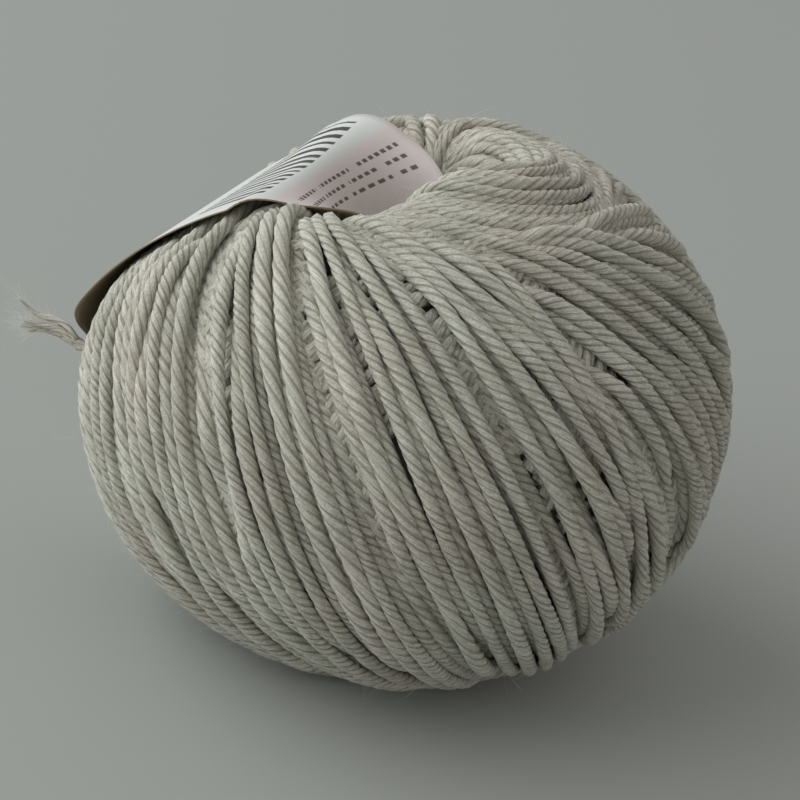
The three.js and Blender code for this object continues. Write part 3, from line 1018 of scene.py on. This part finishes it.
def band_run():
    """The band's closed run in its upright plane: up the hole, over the crest and back underneath."""
    part = np.linspace(0, 1, 401)
    eased = np.where(part < 0.5, 2 * part**2, 1 - 2 * (1 - part) ** 2)
    r = BAND_HOLE_RADIUS + (BAND_REACH - BAND_HOLE_RADIUS) * eased
    upper = np.c_[r, band_height(r)]
    lower = upper[-2::-1] * [1, -1]
    run = np.vstack([[BAND_HOLE_RADIUS, 0], upper, lower, [BAND_HOLE_RADIUS, 0]])
    lengths = np.r_[0, np.cumsum(np.hypot(*np.diff(run, axis=0).T))]
    even = np.linspace(0, lengths[-1], 1201)
    return even, between(even, lengths, run)


RUN_LENGTHS, RUN_POINTS = band_run()
BAND_LENGTH = RUN_LENGTHS[-1]
ahead = np.roll(RUN_POINTS[:-1], -4, axis=0) - np.roll(RUN_POINTS[:-1], 4, axis=0)
RUN_TANGENTS = unit(np.vstack([ahead, ahead[:1]]))


def band_surface(along, over, rise):
    """Points of the band: along its run, over its width, and how far they stand off its middle."""
    along = np.mod(along, BAND_LENGTH)
    x, y = between(along, RUN_LENGTHS, RUN_POINTS).T
    ahead_x, ahead_y = between(along, RUN_LENGTHS, RUN_TANGENTS).T
    in_hole = smooth_step((BAND_CURL_RADIUS - x) / (BAND_CURL_RADIUS - BAND_HOLE_RADIUS - 1 * MM))
    curl = in_hole / BAND_HOLE_RADIUS + 1e-3
    tilt = BAND_TILT * (1 - in_hole)
    drop = smooth_step((BAND_OFFSET_SPAN / 2 - y) / BAND_OFFSET_SPAN)
    offset = (BAND_OFFSET_TOP + (BAND_OFFSET_FOOT - BAND_OFFSET_TOP) * drop) * (1 - in_hole)
    run = np.array([math.sin(BAND_AZIMUTH), -math.cos(BAND_AZIMUTH), 0])
    side = np.array([run[1], -run[0], 0])
    upright = np.array([0, 0, 1])
    cos_tilt = np.cos(tilt)[:, None]
    sin_tilt = np.sin(tilt)[:, None]
    up = upright * cos_tilt - side * sin_tilt
    across = upright * sin_tilt + side * cos_tilt
    face = -run * ahead_y[:, None] + up * ahead_x[:, None]
    middle = run * x[:, None] + up * y[:, None] + across * offset[:, None]
    droop = smooth_step((-over - BAND_DROOP_FROM) / BAND_DROOP_WIDTH) * (y > 0)
    droop *= np.exp(-(((x - BAND_DROOP_RADIUS) / BAND_DROOP_SPAN) ** 2))
    lift = smooth_step(over / (BAND_WIDTH / 2)) * (y > 0)
    lift *= np.exp(-(((x - BAND_LIFT_RADIUS) / BAND_LIFT_SPAN) ** 2))
    rise = rise - BAND_DROOP * droop + BAND_LIFT * lift
    swing = curl * over
    sideways = across * (np.sin(swing) / curl)[:, None]
    inwards = face * ((1 - np.cos(swing)) / curl + rise)[:, None]
    return CENTRE + middle + sideways + inwards


STRIP_LENGTH = BAND_LENGTH + BAND_OVERLAP


def paper_band(name, materials):
    """A flat strip of paper, bent into the band. Its ends lie one over the other."""
    bm = bmesh.new()
    layer = bm.loops.layers.uv.new("strip")
    bmesh.ops.create_grid(bm, x_segments=250, y_segments=26, size=0.5, calc_uvs=True)
    flat = np.array([vertex.co for vertex in bm.verts])
    share = flat[:, 0] + 0.5
    # The paper's edges are not quite straight.
    sway = 0.10 * MM * np.sin(share * 41 + 1) + 0.07 * MM * np.sin(share * 97 + flat[:, 1] * 5)
    over = flat[:, 1] * BAND_WIDTH + sway
    rise = (share - 0.5) * 1.3 * PAPER_THICKNESS * (1 + BAND_OVERLAP / BAND_LENGTH)
    placed = band_surface(BAND_START + share * STRIP_LENGTH, over, rise)
    for vertex, place in zip(bm.verts, placed):
        vertex.co = place
    for face in bm.faces:
        for loop in face.loops:
            loop[layer].uv = (flat[loop.vert.index][0] + 0.5, flat[loop.vert.index][1] + 0.5)
    bm.normal_update()
    outermost = max(bm.faces, key=lambda face: face.calc_center_median().z)
    if outermost.normal.z < 0:
        bmesh.ops.reverse_faces(bm, faces=bm.faces)
    mesh = mesh_of(bm, name)
    mesh.shade_smooth()
    for material in materials:
        mesh.materials.append(material)
    piece = add_object(name, mesh)
    thick = piece.modifiers.new("paper", "SOLIDIFY")
    thick.thickness = PAPER_THICKNESS
    thick.offset = 0
    thick.material_offset = 1
    thick.material_offset_rim = 1
    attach(piece, "root")
    return piece


def plain_paper():
    material, n, surface = new_material("paper_inside_painted_shade", *PAPER_FINISH)
    # Painted shade: the inside is coloured darker for the shadow that falls inside the band.
    dull = tuple(0.9 * value for value in PAINTED_SHADE_PAPER_INSIDE[:3]) + (1,)
    n.fill(surface, Base_Color=n.mix(n.noise(n.own_place(), *PAPER_GRAIN), dull, PAINTED_SHADE_PAPER_INSIDE))
    return material


def label_print_group():
    """Plain bars and rows of plain dashes on a white and a pale pink panel."""
    colours = dict.fromkeys(["White", "Pink", "Bar Ink", "Dash Ink"], "Color")
    group, n, given, out = new_group("label_print", {"Strip": "Vector", **colours}, {"Color": "Color"})
    run, width, _ = n.add("ShaderNodeSeparateXYZ", Vector=given.outputs["Strip"]).outputs
    # Millimetres along the band's run from low in the hole, and across it from its middle.
    along = n.math("MULTIPLY_ADD", run, float(STRIP_LENGTH / MM), float(BAND_START / MM))
    over = n.times(n.minus(width, 0.5), BAND_WIDTH / MM)
    white = n.ramp(along, PINK_END - PANEL_BLUR, PINK_END + PANEL_BLUR)
    colour = n.mix(white, given.outputs["Pink"], given.outputs["White"])

    def within(value, low, high, soft=INK_BLUR):
        rises = n.ramp(value, low - soft, low + soft)
        falls = n.ramp(value, high - soft, high + soft)
        return n.times(rises, n.minus(1.0, falls))

    broad = n.math("SINE", n.times(over, TURN / BAR_PITCHES[0]))
    fine = n.math("SINE", n.math("MULTIPLY_ADD", over, TURN / BAR_PITCHES[1], 0.9))
    rhythm = n.plus(broad, n.times(fine, 0.45))
    bars = n.times(n.ramp(rhythm, 0.0, 0.25), within(along, BARS_START, BARS_END))
    colour = n.mix(n.times(bars, within(over, *BARS_ACROSS)), colour, given.outputs["Bar Ink"])
    for row, (place, low, high, pitch, gap) in enumerate(DASH_ROWS):
        beat = n.math("FRACT", n.math("MULTIPLY_ADD", over, 1 / pitch, 40.0))
        pause = n.math("FRACT", n.math("MULTIPLY_ADD", over, 1 / gap, 40.3 + 0.21 * row))
        dashes = n.times(within(beat, 0.1, 0.72, 0.05), within(pause, -1.0, 0.84, 0.01))
        dashes = n.times(dashes, within(along, place - DASH_HALF_WIDTH, place + DASH_HALF_WIDTH))
        colour = n.mix(n.times(dashes, within(over, low, high)), colour, given.outputs["Dash Ink"])
    n.fill(out, Color=colour)
    return group


label_print = label_print_group()


def printed_paper():
    material, n, surface = new_material("printed_paper", *PAPER_FINISH)
    strip = n.add("ShaderNodeUVMap", {"uv_map": "strip"})
    look = n.add("ShaderNodeGroup", {"node_tree": label_print}, Strip=strip.outputs["UV"], **LABEL_COLOURS)
    grain = n.noise(n.own_place(), *PAPER_GRAIN)
    bump = n.add("ShaderNodeBump", Height=grain, Strength=0.12, Distance=0.0001)
    n.fill(surface, Base_Color=look.outputs["Color"], Normal=bump.outputs["Normal"])
    return material


printed_side = printed_paper()
plain_side = plain_paper()


# ---- the wound ball


def wind_ball():
    """The stretches of all strands that show, in pieces of a size that is easy to handle."""
    runs = []
    for strand in strands:
        for index, closed in shown_runs(strand):
            points = resample(strand["points"][index], MESH_STEP, closed)
            share = np.linspace(0, 1, len(points))
            girth = np.interp(share, np.linspace(0, 1, len(index)), strand["girth"][index])
            runs.append((points, closed, strand["tone"], random.uniform(0, TURN), girth))
    batches = [[]]
    count = 0
    for run in runs:
        if count + len(run[0]) > MOST_TRIANGLES / (4 * PLIES):
            batches.append([])
            count = 0
        batches[-1].append(run)
        count += len(run[0])
    made = []
    for k, batch in enumerate(batches):
        made.append(yarn_piece(f"winding_{k + 1}", batch, yarn_section, greige_yarn))
    return made


def loose_end():
    """The plied tail. Near its cut end the plies come untwisted and fray."""
    travel = np.arange(len(tail_line)) * YARN_STEP
    cord_run = (tail_line, False, 0.0, 0.7, 1.0)
    cord = yarn_piece("yarn_tail_plied", [cord_run], yarn_section, greige_yarn, cord_taper)
    source = np.random.default_rng(21)
    plies = [opened_ply(k, travel, source) for k in range(len(FRAYED_PLIES))]
    strands_of_tail = yarn_piece("yarn_tail_plies", plies, single_section, greige_yarn, ply_taper)
    fibres = [stray_fibre(ply[0], source) for ply in plies for _ in range(STRAYS_PER_PLY)]
    frayed = yarn_piece("yarn_tail_fibres", fibres, fibre_section, fibre_look, fibre_taper)
    for piece in (cord, strands_of_tail, frayed):
        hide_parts("yarn_tail")


def opened_ply(k, travel, source):
    """One ply of the loose end, from inside the twisted yarn to its own frayed end."""
    rise, depth, reach = FRAYED_PLIES[k]
    ahead = unit(np.gradient(tail_line, axis=0))
    deep = unit(np.cross(ahead, [0, 0, 1.0]))
    shares = np.linspace(0, 1, 26)
    at = travel[-1] - FRAY_LENGTH - PLY_START + shares * (FRAY_LENGTH + PLY_START) * reach
    line, side, over = (between(at, travel, part) for part in (tail_line, deep, np.cross(deep, ahead)))
    open_up = smooth_step(shares * 1.15)[:, None]
    twist = k / len(FRAYED_PLIES) * TURN + 2.2 * (1 - shares[:, None]) ** 2
    near = PLY_SPREAD * (1 - open_up)
    line = line + side * (near * np.cos(twist) + depth * MM * open_up)
    line = line + over * (near * np.sin(twist) + rise * MM * open_up)
    curl = smooth_step((shares - 0.62) / 0.38)[:, None] ** 2
    line = line + over * curl * (PLY_CURL if k == 0 else 0.0)
    line = line + over * PLY_SWAY * MM * np.sin(shares * 7 + k)[:, None]
    tone = source.uniform(-0.2, 0.8)
    return resample(line, FINE_STEP, False), False, tone, source.uniform(0, TURN), 1.0


def cord_taper(share):
    """Full where the plies are twisted, then one thin core between them."""
    return 1 - 0.6 * smooth_step((share - 1 + FRAY_SHARE) / (0.5 * FRAY_SHARE))


def ply_taper(share):
    """Full to past the middle of a ply, then thinning to its frayed end."""
    return 0.25 + 0.75 * (1 - smooth_step((share - 0.45) / 0.55) ** 1.4)


def fibre_taper(share):
    return 1 - 0.6 * share


def stray_fibre(points, source):
    """One fibre that leaves a ply near its end and runs on past it, slightly curled."""
    start = min(int(len(points) * source.uniform(0.35, 0.98)), len(points) - 3)
    ahead = points[start + 1] - points[start - 1]
    ahead /= np.linalg.norm(ahead)
    reach = source.uniform(*STRAY_REACH) * MM
    lean = source.normal(size=3) * 0.33
    bend = source.normal(size=3) * 0.5
    steps = np.linspace(0, 1, 7)[:, None]
    spread = source.normal(size=3) * 0.16 * MM
    line = points[start] + spread + (ahead + lean) * steps * reach + bend * steps**2 * reach * 0.45
    return line, False, source.uniform(0, 1), 0.0, 1.0


def ball_fuzz(source):
    """Short curled fibres that stand off the strands all over the ball, but not under the band."""
    paper = search_tree("label_band")
    spots = []
    for strand in strands:
        points = strand["points"]
        ahead = np.gradient(points, axis=0)
        for k in np.flatnonzero(strand["shown"]):
            spots.append((points[k], ahead[k] / np.linalg.norm(ahead[k])))
    fibres = []
    for k in source.permutation(len(spots))[:FUZZ_FIBRES]:
        point, ahead = spots[k]
        if paper.find_nearest(Vector(point))[3] < FUZZ_FREE_OF_BAND:
            continue
        azimuth, turn, distance = point_to_ring(point)
        out = (point - ring_to_point(azimuth, turn, 0.0)) / distance
        start = point + out * 0.8 * YARN_RADIUS + source.normal(size=3) * 0.2 * MM
        reach = source.uniform(*FUZZ_REACH) * MM
        heading = ahead * source.choice([-1, 1]) + source.normal(size=3) * 0.5
        heading = heading + out * source.uniform(*FUZZ_OUT)
        bend = source.normal(size=3) * 0.9 - 0.5 * out
        steps = np.linspace(0, 1, 4)[:, None]
        line = start + (heading * steps + bend * steps**2) * reach * 0.6
        line[:, 2] = np.maximum(line[:, 2], 0.2 * MM)
        fibres.append((line, False, source.uniform(0, 1), 0.0, 1.0))
    return yarn_piece("ball_fuzz", fibres, fibre_section, fibre_look, fibre_taper)


def inner_core():
    """A plain closed body under the strands, painted dark like the painted shade of their creases: it
    stands for the shade deep under them.
    """
    bm = bmesh.new()
    bm.from_mesh(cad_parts["ball"].data)
    bmesh.ops.remove_doubles(bm, verts=bm.verts, dist=1e-6)
    bmesh.ops.recalc_face_normals(bm, faces=bm.faces)
    bm.normal_update()
    for vertex in bm.verts:
        vertex.co -= vertex.normal * CORE_DEPTH
    bmesh.ops.smooth_vert(bm, verts=bm.verts, factor=0.5, use_axis_x=True, use_axis_y=True, use_axis_z=True)
    mesh = mesh_of(bm, "inner_core")
    mesh.shade_smooth()
    piece = add_object("inner_core", mesh)
    material, n, surface = new_material("core_yarn_painted_shade", 1.0)
    # Painted shade: the core's dark colour stands for the shade deep under the strands.
    n.fill(surface, Base_Color=n.mix(n.noise(n.own_place(), 900.0, 3.0), *CORE_PAINTED_SHADE_COLOURS))
    mesh.materials.append(material)
    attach(piece, "root")
    return piece


windings = wind_ball()
core = inner_core()
fuzz = ball_fuzz(np.random.default_rng(31))
for piece in [*windings, core, fuzz]:
    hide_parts("ball")

loose_end()
label = paper_band("label", [printed_side, plain_side])
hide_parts("label_band")
